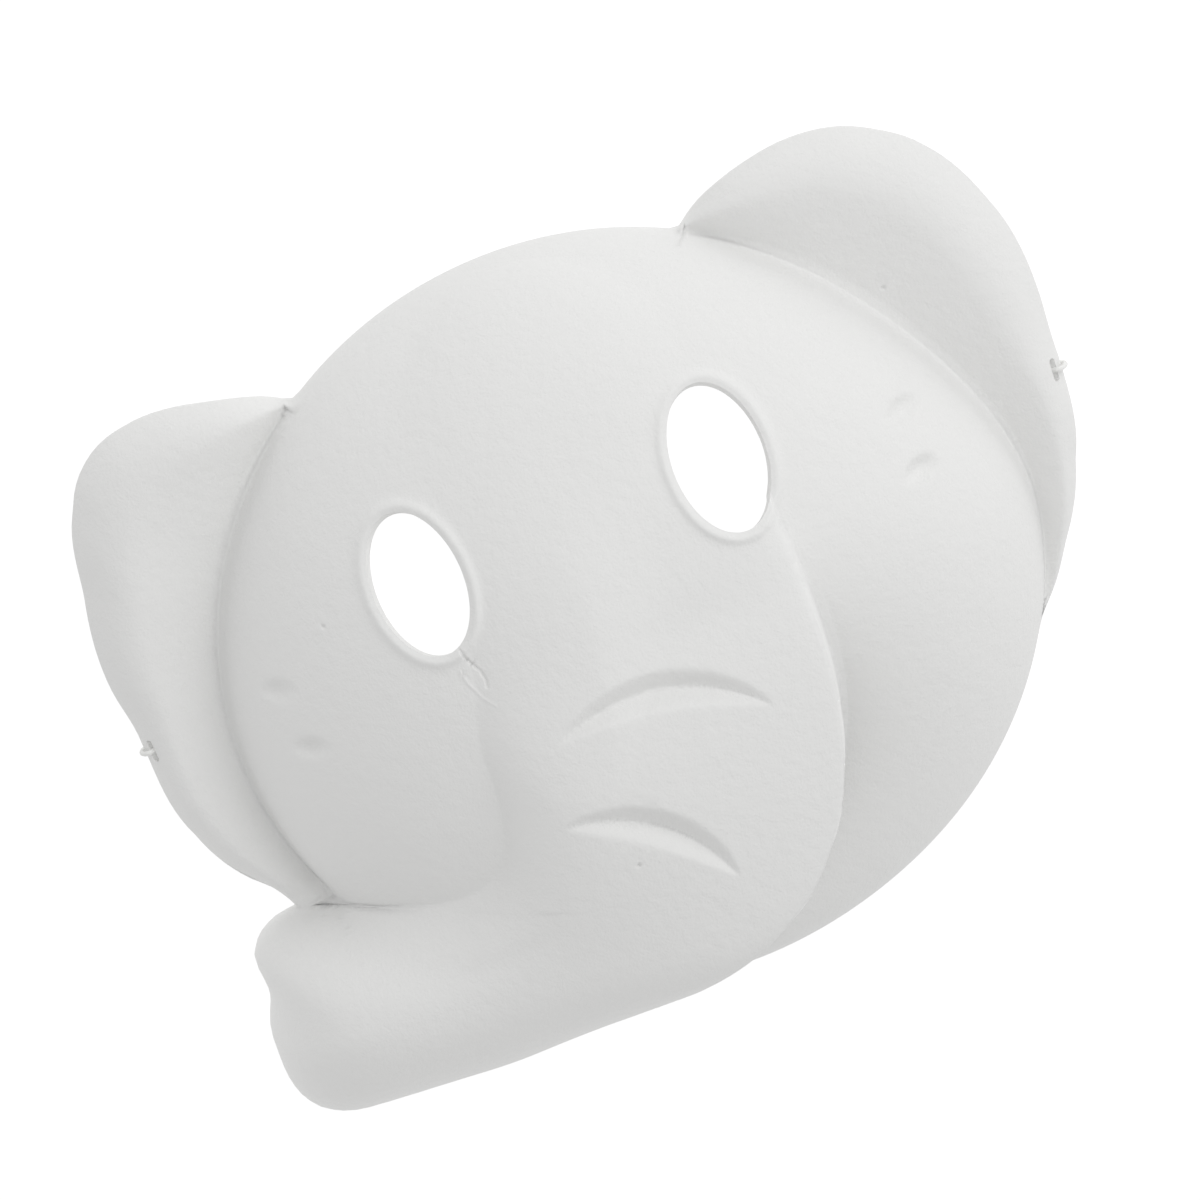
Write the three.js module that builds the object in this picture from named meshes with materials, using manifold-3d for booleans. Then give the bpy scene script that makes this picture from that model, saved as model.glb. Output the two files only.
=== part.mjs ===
// Elephant face mask of moulded white paper pulp, lying face up on its rim, with its elastic cord.
// Millimetres. +Z stands out of the face, +Y points to the forehead, +X to the viewer's right.
import * as THREE from 'three';
import { mergeVertices } from 'three/addons/utils/BufferGeometryUtils.js';
import Module from 'manifold-3d';

const wasm = await Module();
wasm.setup();

// Driving dimensions of the moulding; x and y are measured from the point midway between the eyes
const WALL = 1.8;
const RIM_LIP = 2.5;
const EAR_LIFT = 6;
const LIFT = { start: 2, end: 14 };
const HEAD = { y: -31.5, rise: 60, fullness: 2.1, shoulder: 0.52, top: 86.1, bottom: 85 };
const HEAD_SIDE = { left: 91, rightLow: 96, rightHigh: 89.5 };
const EAR = { x: 68, y: 0, crest: 16.5, crestAt: 0.42, drop: 6.5, sag: 1.3, widening: 9, fall: 1 };
const EAR_FILLET = { along: 3, notch: 14, reach: 7 };
const EYE = { x: 34.6, y: 1.6, halfWidth: 10, halfHeight: 15.5 };
const BEAD = { radius: 1.5, sunk: 0.7, offset: 1.4, steps: 24, sides: 6 };
const VALLEY = { depth: 20, width: 19, startAlong: 0.16, fullAlong: 0.42, lowHead: 4, highHead: 40 };
const TIP = { x: -110.7, y: -87, lean: 0.08, corner: 16 };
const TIP_NOTCH = { x: -114, y: -77.5, radius: 6.5, corner: 5 };

// Ear edges seen from each ear's own centre: angle up from the outward side, and distance to the edge
const EAR_EDGE = [
  { angle: -135, left: 40, right: 40 },
  { angle: -95, left: 66, right: 66 },
  { angle: -76, left: 71.5, right: 71 },
  { angle: -61, left: 63.2, right: 62.7 },
  { angle: -45, left: 55.3, right: 54.5 },
  { angle: -20, left: 44.2, right: 46.3 },
  { angle: -2, left: 42.7, right: 44.8 },
  { angle: 28, left: 44.6, right: 48 },
  { angle: 50, left: 51.9, right: 52 },
  { angle: 61, left: 55, right: 53.1 },
  { angle: 72, left: 54.4, right: 53.6 },
  { angle: 92, left: 50, right: 51.8 },
  { angle: 118, left: 45.5, right: 48.3 },
  { angle: 170, left: 38, right: 38 },
];

// Trunk sections from its root on the forehead to its tip, with what differs on the inner and outer sides of
// its bend: square is how boxy the arched section is, and fillet is how widely it flows into the face
const TRUNK_COLUMNS = [
  'x', 'y', 'half', 'crest', 'innerSquare', 'outerSquare', 'innerFillet', 'outerFillet',
];
const TRUNK = [
  [4, 16, 36, 32, 2, 2, 26, 26],
  [5, -8, 38, 54, 2.2, 4, 26, 18],
  [3.8, -29, 40.3, 66, 3, 20, 18, 4],
  [-0.6, -50.5, 41.8, 70, 4, 24, 14, 2],
  [-8.8, -66.7, 39.3, 70, 4.2, 24, 14, 2],
  [-20.9, -78.2, 30.6, 66, 3.8, 7, 16, 2],
  [-37, -87, 24.4, 59, 2.8, 2.6, 20, 2],
  [-56, -90, 23.5, 52, 2.2, 2.15, 24, 2],
  [-76, -89.2, 24, 47, 2, 2, 26, 2],
  [-112, -87, 23.5, 42, 1.9, 1.9, 26, 2],
];
const TRUNK_WALL = { draft: 20, shoulder: 3 };
const TRUNK_STEPS = 10;
const TRUNK_BLUR = 3;
const SIDE_BLUR = 12;

// Two crescent creases across the trunk, each an arc through three points, and the cheek dents
const CREASES = [
  { from: [-20, -38], over: [4, -36], to: [25, -48], depth: 3 },
  { from: [-25.8, -55.3], over: [-8.3, -61.8], to: [4.6, -79.5], depth: 2.8 },
];
const CREASE = { radius: 4.2, clear: 0.4, steps: 14, sides: 10 };
const DENTS = [
  { x: 74.5, y: -8 },
  { x: 73, y: -20.5 },
  { x: -73, y: -11 },
  { x: -71, y: -24.5 },
];
const DENT = { halfLength: 4.4, halfWidth: 2.5, halfDepth: 2.4, depth: 2, around: 10, down: 6 };

// Slit through each ear's rolled edge for the elastic, at an angle on the ear and set in from its edge
const SLIT = { angle: -22, inset: 2, length: 5.2, width: 1.8, through: 7, segments: 5 };

// Elastic loop round the ear's edge, as the way in from the edge and the height; it ends in the knot
const CORD = { diameter: 1.1, sides: 8, steps: 70, gap: 0.3 };
const KNOT = { inset: 6.2, z: 10.5, radius: 1.5, around: 8, down: 6 };
const TIE_STEPS = 20;
const TIE_ROUTE = [
  { inset: 6.2, z: 10.5 },
  { inset: 4.9, z: 9.9 },
  { inset: 3.4, z: 10.3 },
  { inset: 2, z: 11.45 },
  { inset: 1.25, z: 12 },
  { inset: 0.5, z: 11.7 },
  { inset: -0.1, z: 10.8 },
  { inset: -0.6, z: 9.7 },
  { inset: -0.9, z: 8.4 },
  { inset: -0.95, z: 7 },
  { inset: -0.75, z: 5.6 },
  { inset: 0.1, z: 4.95 },
  { inset: 1.3, z: 4.9 },
  { inset: 2.6, z: 5.5 },
  { inset: 3.9, z: 6.8 },
  { inset: 5.2, z: 8.6 },
  { inset: 6.2, z: 10.5 },
];

// Elastic between the knots, from the left one down to the table, across the hollow and up to the right
const CORD_ROUTE = [
  { x: -101.5, y: -19.3, z: 7.2 },
  { x: -98.6, y: -21.6, z: 3.8 },
  { x: -94.5, y: -25, z: 1.6 },
  { x: -89, y: -30, z: 0.8 },
  { x: -81, y: -38.5, z: 0.7 },
  { x: -71, y: -47.5, z: 0.7 },
  { x: -58, y: -53, z: 0.7 },
  { x: -44, y: -50, z: 0.7 },
  { x: -32, y: -42, z: 0.7 },
  { x: -19, y: -36.5, z: 0.7 },
  { x: -5, y: -39, z: 0.7 },
  { x: 5, y: -49, z: 0.7 },
  { x: 13, y: -61, z: 0.7 },
  { x: 25, y: -69, z: 0.7 },
  { x: 39, y: -68, z: 0.7 },
  { x: 51, y: -59, z: 0.7 },
  { x: 62, y: -48, z: 0.7 },
  { x: 75, y: -40, z: 0.7 },
  { x: 88, y: -33, z: 0.8 },
  { x: 94.5, y: -28.5, z: 1.6 },
  { x: 98.8, y: -25.2, z: 3.8 },
  { x: 101.8, y: -22.9, z: 7.2 },
];

// Mesh of the moulding: spokes from a hub in the trunk's bend, each in three stretches: over the trunk to its
// edge, over the cheek to the head's edge, and over the ear to the outline; rings follow these three edges
const HUB = { x: -26, y: -76 };
const SPOKES = 70;
const TOP_RINGS = 3;
const CHEEK_RINGS = 5;
const TRUNK_INSETS = [18, 11, 6.5, 3.8, 2.6, 1.4, 0.2];
const RIM_INSETS = [16, 10, 6, 3.2, 1.4, 0.4, 0];
const SHORTEST = { top: 36, cheek: 4, ear: 3, rim: 24 };
const BROW_LINE = { y: -6, corner: 24 };
const SEARCH = { from: 190, step: 0.5, halvings: 14 };
const OUTLINE_FILLET = 4;
const BELOW = 20;

const SIDES = [
  { name: 'left', sign: -1 },
  { name: 'right', sign: 1 },
];
const UP = new THREE.Vector3(0, 0, 1);

function softMin(a, b, k) {
  const h = THREE.MathUtils.clamp(0.5 + (0.5 * (b - a)) / k, 0, 1);
  return b * (1 - h) + a * h - k * h * (1 - h);
}

function softMax(a, b, k) {
  return -softMin(-a, -b, k);
}

function ease(value, low, high) {
  return THREE.MathUtils.smoothstep(value, low, high);
}

function mix(a, b, t) {
  return THREE.MathUtils.lerp(a, b, t);
}

function catmullRom(a, b, c, d, t) {
  const bend = 2 * a - 5 * b + 4 * c - d;
  const turn = 3 * b - a - 3 * c + d;
  return 0.5 * (2 * b + (c - a) * t + bend * t * t + turn * t ** 3);
}

// Trunk centre line, with its half width, crest and squareness at each step
function trunkLine() {
  const last = TRUNK.length - 1;
  const line = [];
  for (let step = 0; step <= last * TRUNK_STEPS; step += 1) {
    const row = Math.min(Math.floor(step / TRUNK_STEPS), last - 1);
    const t = step / TRUNK_STEPS - row;
    const at = { along: step / (last * TRUNK_STEPS) };
    TRUNK_COLUMNS.forEach((name, k) => {
      const b = TRUNK[row][k];
      const c = TRUNK[row + 1][k];
      const a = row > 0 ? TRUNK[row - 1][k] : 2 * b - c;
      const d = row + 2 <= last ? TRUNK[row + 2][k] : 2 * c - b;
      at[name] = catmullRom(a, b, c, d, t);
    });
    line.push(at);
  }
  return line;
}
const LINE = trunkLine();

// Trunk at a point: edge is negative inside its plan, and the rest blends the nearest sections
function trunkAt(x, y) {
  const gaps = LINE.map((at) => Math.hypot(x - at.x, y - at.y));
  const nearest = Math.min(...gaps);
  const section = { along: 0 };
  for (const key of TRUNK_COLUMNS) section[key] = 0;
  let total = 0;
  LINE.forEach((at, i) => {
    const weight = Math.exp((nearest - gaps[i]) / TRUNK_BLUR);
    total += weight;
    for (const key of Object.keys(section)) section[key] += weight * at[key];
  });
  for (const key of Object.keys(section)) section[key] /= total;
  const end = TIP.x - x + TIP.lean * (y - TIP.y);
  const notch = TIP_NOTCH.radius - Math.hypot(x - TIP_NOTCH.x, y - TIP_NOTCH.y);
  const edge = softMax(softMax(nearest - section.half, end, TIP.corner), notch, TIP_NOTCH.corner);
  const near = THREE.MathUtils.clamp(gaps.indexOf(nearest), 1, LINE.length - 2);
  const [before, after] = [LINE[near - 1], LINE[near + 1]];
  const turn = (after.y - before.y) * (x - section.x) - (after.x - before.x) * (y - section.y);
  const aside = turn / Math.hypot(after.x - before.x, after.y - before.y);
  const inner = ease(aside, -SIDE_BLUR, SIDE_BLUR);
  const square = mix(section.outerSquare, section.innerSquare, inner);
  const fillet = mix(section.outerFillet, section.innerFillet, inner);
  return { ...section, edge, inner, square, fillet };
}

function earReach(angle, side) {
  const count = EAR_EDGE.length;
  const first = EAR_EDGE[0].angle;
  const turned = first + THREE.MathUtils.euclideanModulo(angle - first, 360);
  let row = count - 1;
  while (EAR_EDGE[row].angle > turned) row -= 1;
  const next = row + 1 < count ? EAR_EDGE[row + 1].angle : first + 360;
  const t = (turned - EAR_EDGE[row].angle) / (next - EAR_EDGE[row].angle);
  const reach = (k) => EAR_EDGE[(row + k + count) % count][side.name];
  return catmullRom(reach(-1), reach(0), reach(1), reach(2), t);
}

// Distance outside an ear's edge, negative inside
function earEdge(x, y, side) {
  const out = side.sign * x - EAR.x;
  const up = y - EAR.y;
  return Math.hypot(out, up) - earReach(THREE.MathUtils.radToDeg(Math.atan2(up, out)), side);
}

// The head is an egg that is wider low on the right
const WIDENING = { low: -45, high: 20, left: -20, right: 60 };
const JAW = { low: -80, high: 0 };
function headRatio(x, y) {
  const right = mix(HEAD_SIDE.rightLow, HEAD_SIDE.rightHigh, ease(y, WIDENING.low, WIDENING.high));
  const halfWidth = mix(HEAD_SIDE.left, right, ease(x, WIDENING.left, WIDENING.right));
  const halfHeight = mix(HEAD.bottom, HEAD.top, ease(y, JAW.low, JAW.high));
  return Math.hypot(x / halfWidth, (y - HEAD.y) / halfHeight);
}

function headEdge(x, y) {
  return (headRatio(x, y) - 1) * HEAD.top;
}

// Height of each form: a full dome, an ear that rolls up from its edge and sags to the head, an arched trunk
const OUTSIDE_FALL = 3;
const GAP_BLEND = 6;
function headHeight(x, y) {
  const ratio = headRatio(x, y);
  if (ratio > 1) return RIM_LIP - OUTSIDE_FALL * headEdge(x, y);
  return RIM_LIP + HEAD.rise * (1 - ratio ** HEAD.fullness) ** HEAD.shoulder;
}

function earHeight(edge, gap) {
  const inside = Math.max(-edge, 0);
  const width = inside + Math.max(gap, 0) + 0.01;
  const full = 1 - Math.exp(-width / EAR.widening);
  const foot = RIM_LIP + EAR_LIFT * ease(gap, LIFT.start, LIFT.end);
  const crest = mix(RIM_LIP, EAR.crest, full);
  const roll = 1 - Math.max(1 - inside / width / EAR.crestAt, 0) ** 2;
  const sag = Math.max((inside / width - EAR.crestAt) / (1 - EAR.crestAt), 0) ** EAR.sag;
  return mix(foot, crest, roll) - EAR.drop * full * sag - EAR.fall * Math.max(edge, 0);
}

function trunkHeight(trunk) {
  const across = THREE.MathUtils.clamp(1 + trunk.edge / trunk.half, 0, 1);
  const arch = (1 - across ** trunk.square) ** (1 / trunk.square);
  const top = RIM_LIP + (trunk.crest - RIM_LIP) * arch - OUTSIDE_FALL * Math.max(trunk.edge, 0);
  const wall = RIM_LIP - TRUNK_WALL.draft * trunk.edge;
  return mix(softMin(top, wall, TRUNK_WALL.shoulder), top, trunk.inner);
}

// Outer face of the moulding: the trunk grows out of the brow, and the cheeks sink beside it
function face(x, y) {
  const trunk = trunkAt(x, y);
  const head = headHeight(x, y);
  const lower = ease(trunk.along, VALLEY.startAlong, VALLEY.fullAlong);
  const within = ease(head, VALLEY.lowHead, VALLEY.highHead);
  const beside = (1 - trunk.inner) * Math.exp(-Math.max(trunk.edge, 0) / VALLEY.width);
  let z = head - VALLEY.depth * lower * within * beside;
  const gap = softMin(headEdge(x, y), trunk.edge, GAP_BLEND);
  for (const side of SIDES) {
    const edge = earEdge(x, y, side);
    const narrow = Math.exp(-(Math.abs(edge) + Math.max(gap, 0)) / EAR_FILLET.reach);
    z = softMax(z, earHeight(edge, gap), mix(EAR_FILLET.along, EAR_FILLET.notch, narrow));
  }
  return softMax(z, trunkHeight(trunk), trunk.fillet);
}

function outlineEdge(x, y) {
  let edge = softMin(headEdge(x, y), trunkAt(x, y).edge, OUTLINE_FILLET);
  for (const side of SIDES) edge = softMin(edge, earEdge(x, y, side), OUTLINE_FILLET);
  return edge;
}

// The ears' edges stand off the table, and the rest of the rim lies on it
function rimHeight(x, y) {
  const away = Math.min(headEdge(x, y), trunkAt(x, y).edge);
  return EAR_LIFT * ease(away, LIFT.start, LIFT.end);
}

// Way from the hub to where a spoke last crosses an edge
function reachOf(edge, angle) {
  const inside = (r) => edge(HUB.x + r * Math.cos(angle), HUB.y + r * Math.sin(angle)) < 0;
  let outer = SEARCH.from;
  while (!inside(outer - SEARCH.step)) outer -= SEARCH.step;
  let inner = outer - SEARCH.step;
  for (let i = 0; i < SEARCH.halvings; i += 1) {
    const middle = (inner + outer) / 2;
    if (inside(middle)) inner = middle;
    else outer = middle;
  }
  return inner;
}

// Angles of spokes whose ends are evenly spaced along the outline
const FINE_PER_SPOKE = 6;
function spokeAngles() {
  const fine = FINE_PER_SPOKE * SPOKES;
  const ends = [];
  let length = 0;
  for (let i = 0; i <= fine; i += 1) {
    const angle = (i / fine) * 2 * Math.PI;
    const radius = reachOf(outlineEdge, angle);
    const at = new THREE.Vector2(radius * Math.cos(angle), radius * Math.sin(angle));
    if (i > 0) length += at.distanceTo(ends[i - 1].at);
    ends.push({ angle, at, length });
  }
  return Array.from({ length: SPOKES }, (_, spoke) => {
    const target = (length * spoke) / SPOKES;
    const next = Math.max(1, ends.findIndex((end) => end.length >= target));
    const [low, high] = [ends[next - 1], ends[next]];
    return THREE.MathUtils.mapLinear(target, low.length, high.length, low.angle, high.angle);
  });
}

// Edge that the trunk's rings follow, closed off below the brow where the trunk has no wall
function trunkRingEdge(x, y) {
  return softMax(trunkAt(x, y).edge, y - BROW_LINE.y, BROW_LINE.corner);
}

// Distances of the rings along a spoke
function ringRadii(angle) {
  const rim = reachOf(outlineEdge, angle);
  const trunk = Math.min(reachOf(trunkRingEdge, angle), rim - SHORTEST.cheek - SHORTEST.ear);
  const head = THREE.MathUtils.clamp(reachOf(headEdge, angle), trunk + SHORTEST.cheek, rim - SHORTEST.ear);
  const topShrink = Math.min(1, trunk / SHORTEST.top);
  const rimShrink = Math.min(1, (rim - head) / SHORTEST.rim);
  const top = trunk - TRUNK_INSETS[0] * topShrink;
  const radii = [];
  for (let ring = 0; ring < TOP_RINGS; ring += 1) radii.push((top * ring) / TOP_RINGS);
  for (const inset of TRUNK_INSETS) radii.push(trunk - inset * topShrink);
  for (let ring = 1; ring <= CHEEK_RINGS; ring += 1) {
    const part = Math.sin(((ring / CHEEK_RINGS) * Math.PI) / 2);
    radii.push(mix(trunk, head, part));
  }
  for (const inset of RIM_INSETS) radii.push(rim - inset * rimShrink);
  return radii;
}

const NUDGE = 0.15;
function outward(x, y) {
  const dx = (face(x + NUDGE, y) - face(x - NUDGE, y)) / (2 * NUDGE);
  const dy = (face(x, y + NUDGE) - face(x, y - NUDGE)) / (2 * NUDGE);
  return new THREE.Vector3(-dx, -dy, 1).normalize();
}

function outlineNormal(x, y) {
  const dx = outlineEdge(x + NUDGE, y) - outlineEdge(x - NUDGE, y);
  const dy = outlineEdge(x, y + NUDGE) - outlineEdge(x, y - NUDGE);
  return new THREE.Vector3(dx, dy, 0).normalize();
}

// Points of the outer face on every spoke, from the hub to the top of the rim's lip
function faceGrid() {
  return spokeAngles().map((angle) => ringRadii(angle).map((radius, ring, radii) => {
    const x = HUB.x + radius * Math.cos(angle);
    const y = HUB.y + radius * Math.sin(angle);
    const lip = rimHeight(x, y) + RIM_LIP;
    const z = ring < radii.length - 1 ? Math.max(face(x, y), lip) : lip;
    return new THREE.Vector3(x, y, z);
  }));
}
const GRID = faceGrid();
const LAST_RING = GRID[0].length - 1;

// Outward direction at a grid point, lengthened so that every facet round it moves by a whole unit
const LONGEST_MITRE = 1.6;
function mitre(spoke, ring) {
  const at = (s, r) => GRID[(s + SPOKES) % SPOKES][r];
  if (ring === LAST_RING) return outlineNormal(at(spoke, ring).x, at(spoke, ring).y);
  const round = ring > 0 ? [spoke - 1, spoke] : [...GRID.keys()];
  const facets = [];
  for (const s of round) {
    for (const r of ring > 0 ? [ring - 1, ring] : [0]) {
      const across = at(s + 1, r + 1).clone().sub(at(s, r));
      facets.push(at(s, r + 1).clone().sub(at(s + 1, r)).cross(across).normalize());
    }
  }
  const out = facets.reduce((sum, facet) => sum.add(facet), new THREE.Vector3()).normalize();
  const least = Math.min(...facets.map((facet) => facet.dot(out)));
  return out.multiplyScalar(1 / Math.max(least, 1 / LONGEST_MITRE));
}

// A closed body under the face: a turned blank whose points move to the grid, set in by depth
function moulding(depth, bottom) {
  const profile = [new THREE.Vector2(0, -1), new THREE.Vector2(1, 0)];
  for (let ring = LAST_RING; ring >= 0; ring -= 1) profile.push(new THREE.Vector2(ring, 1));
  const blank = new THREE.LatheGeometry(profile, SPOKES);
  const place = blank.attributes.position;
  for (let i = 0; i < place.count; i += 1) {
    const spoke = Math.floor(i / profile.length) % SPOKES;
    const row = i % profile.length;
    const ring = Math.min(profile.length - 1 - row, LAST_RING);
    const point = GRID[spoke][ring].clone();
    const foot = bottom < 0 ? bottom : rimHeight(point.x, point.y);
    point.addScaledVector(mitre(spoke, ring), -depth);
    if (row === 1) point.z = foot;
    if (row === 0) point.set(HUB.x, HUB.y, bottom);
    place.setXYZ(i, point.x, point.y, point.z);
  }
  return solidOf(blank);
}

function solidOf(geometry) {
  const bare = geometry.clone();
  bare.deleteAttribute('normal');
  bare.deleteAttribute('uv');
  const merged = mergeVertices(bare);
  const corners = [];
  for (let i = 0; i < merged.index.count; i += 3) {
    const [a, b, c] = [0, 1, 2].map((k) => merged.index.getX(i + k));
    if (a !== b && b !== c && c !== a) corners.push(a, b, c);
  }
  const vertProperties = new Float32Array(merged.attributes.position.array);
  return new wasm.Manifold(new wasm.Mesh({ numProp: 3, vertProperties, triVerts: new Uint32Array(corners) }));
}

function geometryOf(solid) {
  const { vertProperties, triVerts, numProp } = solid.getMesh();
  const geometry = new THREE.BufferGeometry();
  const points = new Float32Array((vertProperties.length / numProp) * 3);
  for (let i = 0; i < points.length / 3; i += 1) {
    for (let k = 0; k < 3; k += 1) points[3 * i + k] = vertProperties[numProp * i + k];
  }
  geometry.setAttribute('position', new THREE.BufferAttribute(points, 3));
  geometry.setIndex(new THREE.BufferAttribute(new Uint32Array(triVerts), 1));
  geometry.computeVertexNormals();
  return geometry;
}

// The main body of a solid, without the slivers that near-equal faces leave
function largest(solid) {
  return solid.decompose().reduce((best, body) => (body.volume() > best.volume() ? body : best));
}

function roundSection(radius) {
  return new THREE.Shape().absarc(0, 0, radius, 0, 2 * Math.PI);
}

function sweep(points, radius, steps, sides) {
  const extrudePath = new THREE.CatmullRomCurve3(points);
  const options = { steps, curveSegments: sides / 2, bevelEnabled: false, extrudePath };
  return new THREE.ExtrudeGeometry(roundSection(radius), options);
}

// Crease across the trunk: a round groove whose path lifts clear of the face at both ends
function creasePath(crease) {
  const [[ax, ay], [bx, by], [cx, cy]] = [crease.from, crease.over, crease.to];
  const points = [];
  for (let i = 0; i <= CREASE.steps; i += 1) {
    const t = (2 * i) / CREASE.steps - 1;
    const x = bx + (t * (cx - ax)) / 2 + t * t * ((ax + cx) / 2 - bx);
    const y = by + (t * (cy - ay)) / 2 + t * t * ((ay + cy) / 2 - by);
    const depth = crease.depth * (1 - t * t) - CREASE.clear * t * t;
    points.push(new THREE.Vector3(x, y, face(x, y) + CREASE.radius - depth));
  }
  return points;
}

function creaseTool(crease, spare) {
  return solidOf(sweep(creasePath(crease), CREASE.radius + spare, CREASE.steps, CREASE.sides));
}

function dentTool({ x, y }, spare) {
  const tool = new THREE.SphereGeometry(1, DENT.around, DENT.down);
  tool.scale(DENT.halfLength + spare, DENT.halfWidth + spare, DENT.halfDepth + spare);
  const out = outward(x, y);
  tool.applyQuaternion(new THREE.Quaternion().setFromUnitVectors(UP, out));
  const centre = new THREE.Vector3(x, y, face(x, y)).addScaledVector(out, DENT.halfDepth - DENT.depth);
  tool.translate(centre.x, centre.y, centre.z);
  return solidOf(tool);
}

// Raised bead round an eye hole, swept a little past one turn so that its ends join
const BEAD_OVERLAP = 0.5;
function eyeBead(sign) {
  const points = [];
  for (let i = 0; i <= BEAD.steps; i += 1) {
    const angle = (i / (BEAD.steps - BEAD_OVERLAP)) * 2 * Math.PI;
    const x = sign * EYE.x + (EYE.halfWidth + BEAD.offset) * Math.cos(angle);
    const y = EYE.y + (EYE.halfHeight + BEAD.offset) * Math.sin(angle);
    points.push(new THREE.Vector3(x, y, face(x, y)).addScaledVector(outward(x, y), -BEAD.sunk));
  }
  return solidOf(sweep(points, BEAD.radius, BEAD.steps, BEAD.sides));
}

function eyeHole(sign) {
  const sides = 32;
  const tool = new THREE.CylinderGeometry(1, 1, 2 * (HEAD.rise + BELOW), sides);
  tool.rotateX(Math.PI / 2);
  tool.scale(EYE.halfWidth, EYE.halfHeight, 1);
  tool.translate(sign * EYE.x, EYE.y, 0);
  return solidOf(tool);
}

// Place of the slit on an ear: the ear's edge beside it, and the level way out across that edge
function slitPlace(side) {
  const angle = THREE.MathUtils.degToRad(SLIT.angle);
  const reach = earReach(SLIT.angle, side);
  const across = side.sign * (EAR.x + reach * Math.cos(angle));
  const edge = new THREE.Vector3(across, EAR.y + reach * Math.sin(angle), 0);
  return { edge, out: outlineNormal(edge.x, edge.y) };
}

function inFrom({ edge, out }, { inset, z }) {
  return edge.clone().addScaledVector(out, -inset).setZ(z);
}

function slitTool(side) {
  const place = slitPlace(side);
  const half = (SLIT.length - SLIT.width) / 2;
  const outline = new THREE.Shape();
  outline.absarc(half, 0, SLIT.width / 2, -Math.PI / 2, Math.PI / 2);
  outline.absarc(-half, 0, SLIT.width / 2, Math.PI / 2, 1.5 * Math.PI);
  const options = { depth: SLIT.through, curveSegments: SLIT.segments, bevelEnabled: false };
  const tool = new THREE.ExtrudeGeometry(outline, options);
  tool.translate(0, 0, -SLIT.through / 2);
  const centre = inFrom(place, { inset: SLIT.inset, z: 0 });
  centre.z = face(centre.x, centre.y);
  const along = new THREE.Vector3().crossVectors(UP, place.out);
  const normal = outward(centre.x, centre.y);
  const across = new THREE.Vector3().crossVectors(normal, along).normalize();
  along.crossVectors(across, normal);
  tool.applyMatrix4(new THREE.Matrix4().makeBasis(along, across, normal).setPosition(centre));
  return solidOf(tool);
}

function maskShell() {
  let outside = moulding(0, 0);
  let inside = moulding(WALL, -BELOW);
  for (const side of SIDES) outside = outside.add(eyeBead(side.sign));
  for (const crease of CREASES) {
    outside = outside.subtract(creaseTool(crease, 0));
    inside = inside.subtract(creaseTool(crease, WALL));
  }
  for (const dent of DENTS) {
    outside = outside.subtract(dentTool(dent, 0));
    inside = inside.subtract(dentTool(dent, WALL));
  }
  let shell = outside.subtract(inside);
  for (const side of SIDES) shell = shell.subtract(eyeHole(side.sign)).subtract(slitTool(side));
  return geometryOf(largest(shell));
}

// Loop of elastic through a slit and under the ear's edge, fused with its knot
function tie(side) {
  const place = slitPlace(side);
  const route = TIE_ROUTE.map((row) => inFrom(place, row));
  const loop = solidOf(sweep(route, CORD.diameter / 2, TIE_STEPS, CORD.sides));
  const knot = new THREE.SphereGeometry(KNOT.radius, KNOT.around, KNOT.down);
  const centre = inFrom(place, KNOT);
  knot.translate(centre.x, centre.y, centre.z);
  return geometryOf(loop.add(solidOf(knot)));
}

// The cord starts and ends a small gap away from the two knots
function elasticCord() {
  const route = CORD_ROUTE.map(({ x, y, z }) => new THREE.Vector3(x, y, z));
  const clear = KNOT.radius + CORD.gap;
  const leave = (side, next) => {
    const centre = inFrom(slitPlace(side), KNOT);
    return centre.addScaledVector(next.clone().sub(centre).normalize(), clear);
  };
  const [left, right] = SIDES;
  const points = [leave(left, route[0]), ...route, leave(right, route[route.length - 1])];
  return sweep(points, CORD.diameter / 2, CORD.steps, CORD.sides);
}

const pulp = new THREE.MeshStandardMaterial({ color: 0xeeeeec, roughness: 0.95, metalness: 0 });
const elastic = new THREE.MeshStandardMaterial({ color: 0xf2f2f0, roughness: 0.8, metalness: 0 });

function named(name, geometry, material) {
  const mesh = new THREE.Mesh(geometry, material);
  mesh.name = name;
  return mesh;
}

const mask = new THREE.Group();
const shell = named('mask_shell', maskShell(), pulp);
mask.add(shell, named('elastic_cord', elasticCord(), elastic));
for (const side of SIDES) mask.add(named(`${side.name}_tie`, tie(side), elastic));

// The origin is on the table under the middle of the moulding
const middle = new THREE.Box3().setFromObject(shell).getCenter(new THREE.Vector3());
mask.position.set(-middle.x, -middle.y, 0);

const model = new THREE.Group();
model.add(mask);

export default model;
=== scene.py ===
"""Elephant face mask of moulded white paper pulp, face up on a pale floor, with its elastic cord."""
import math

import bmesh
import bpy
import numpy as np
from mathutils import Matrix, Vector


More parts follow.
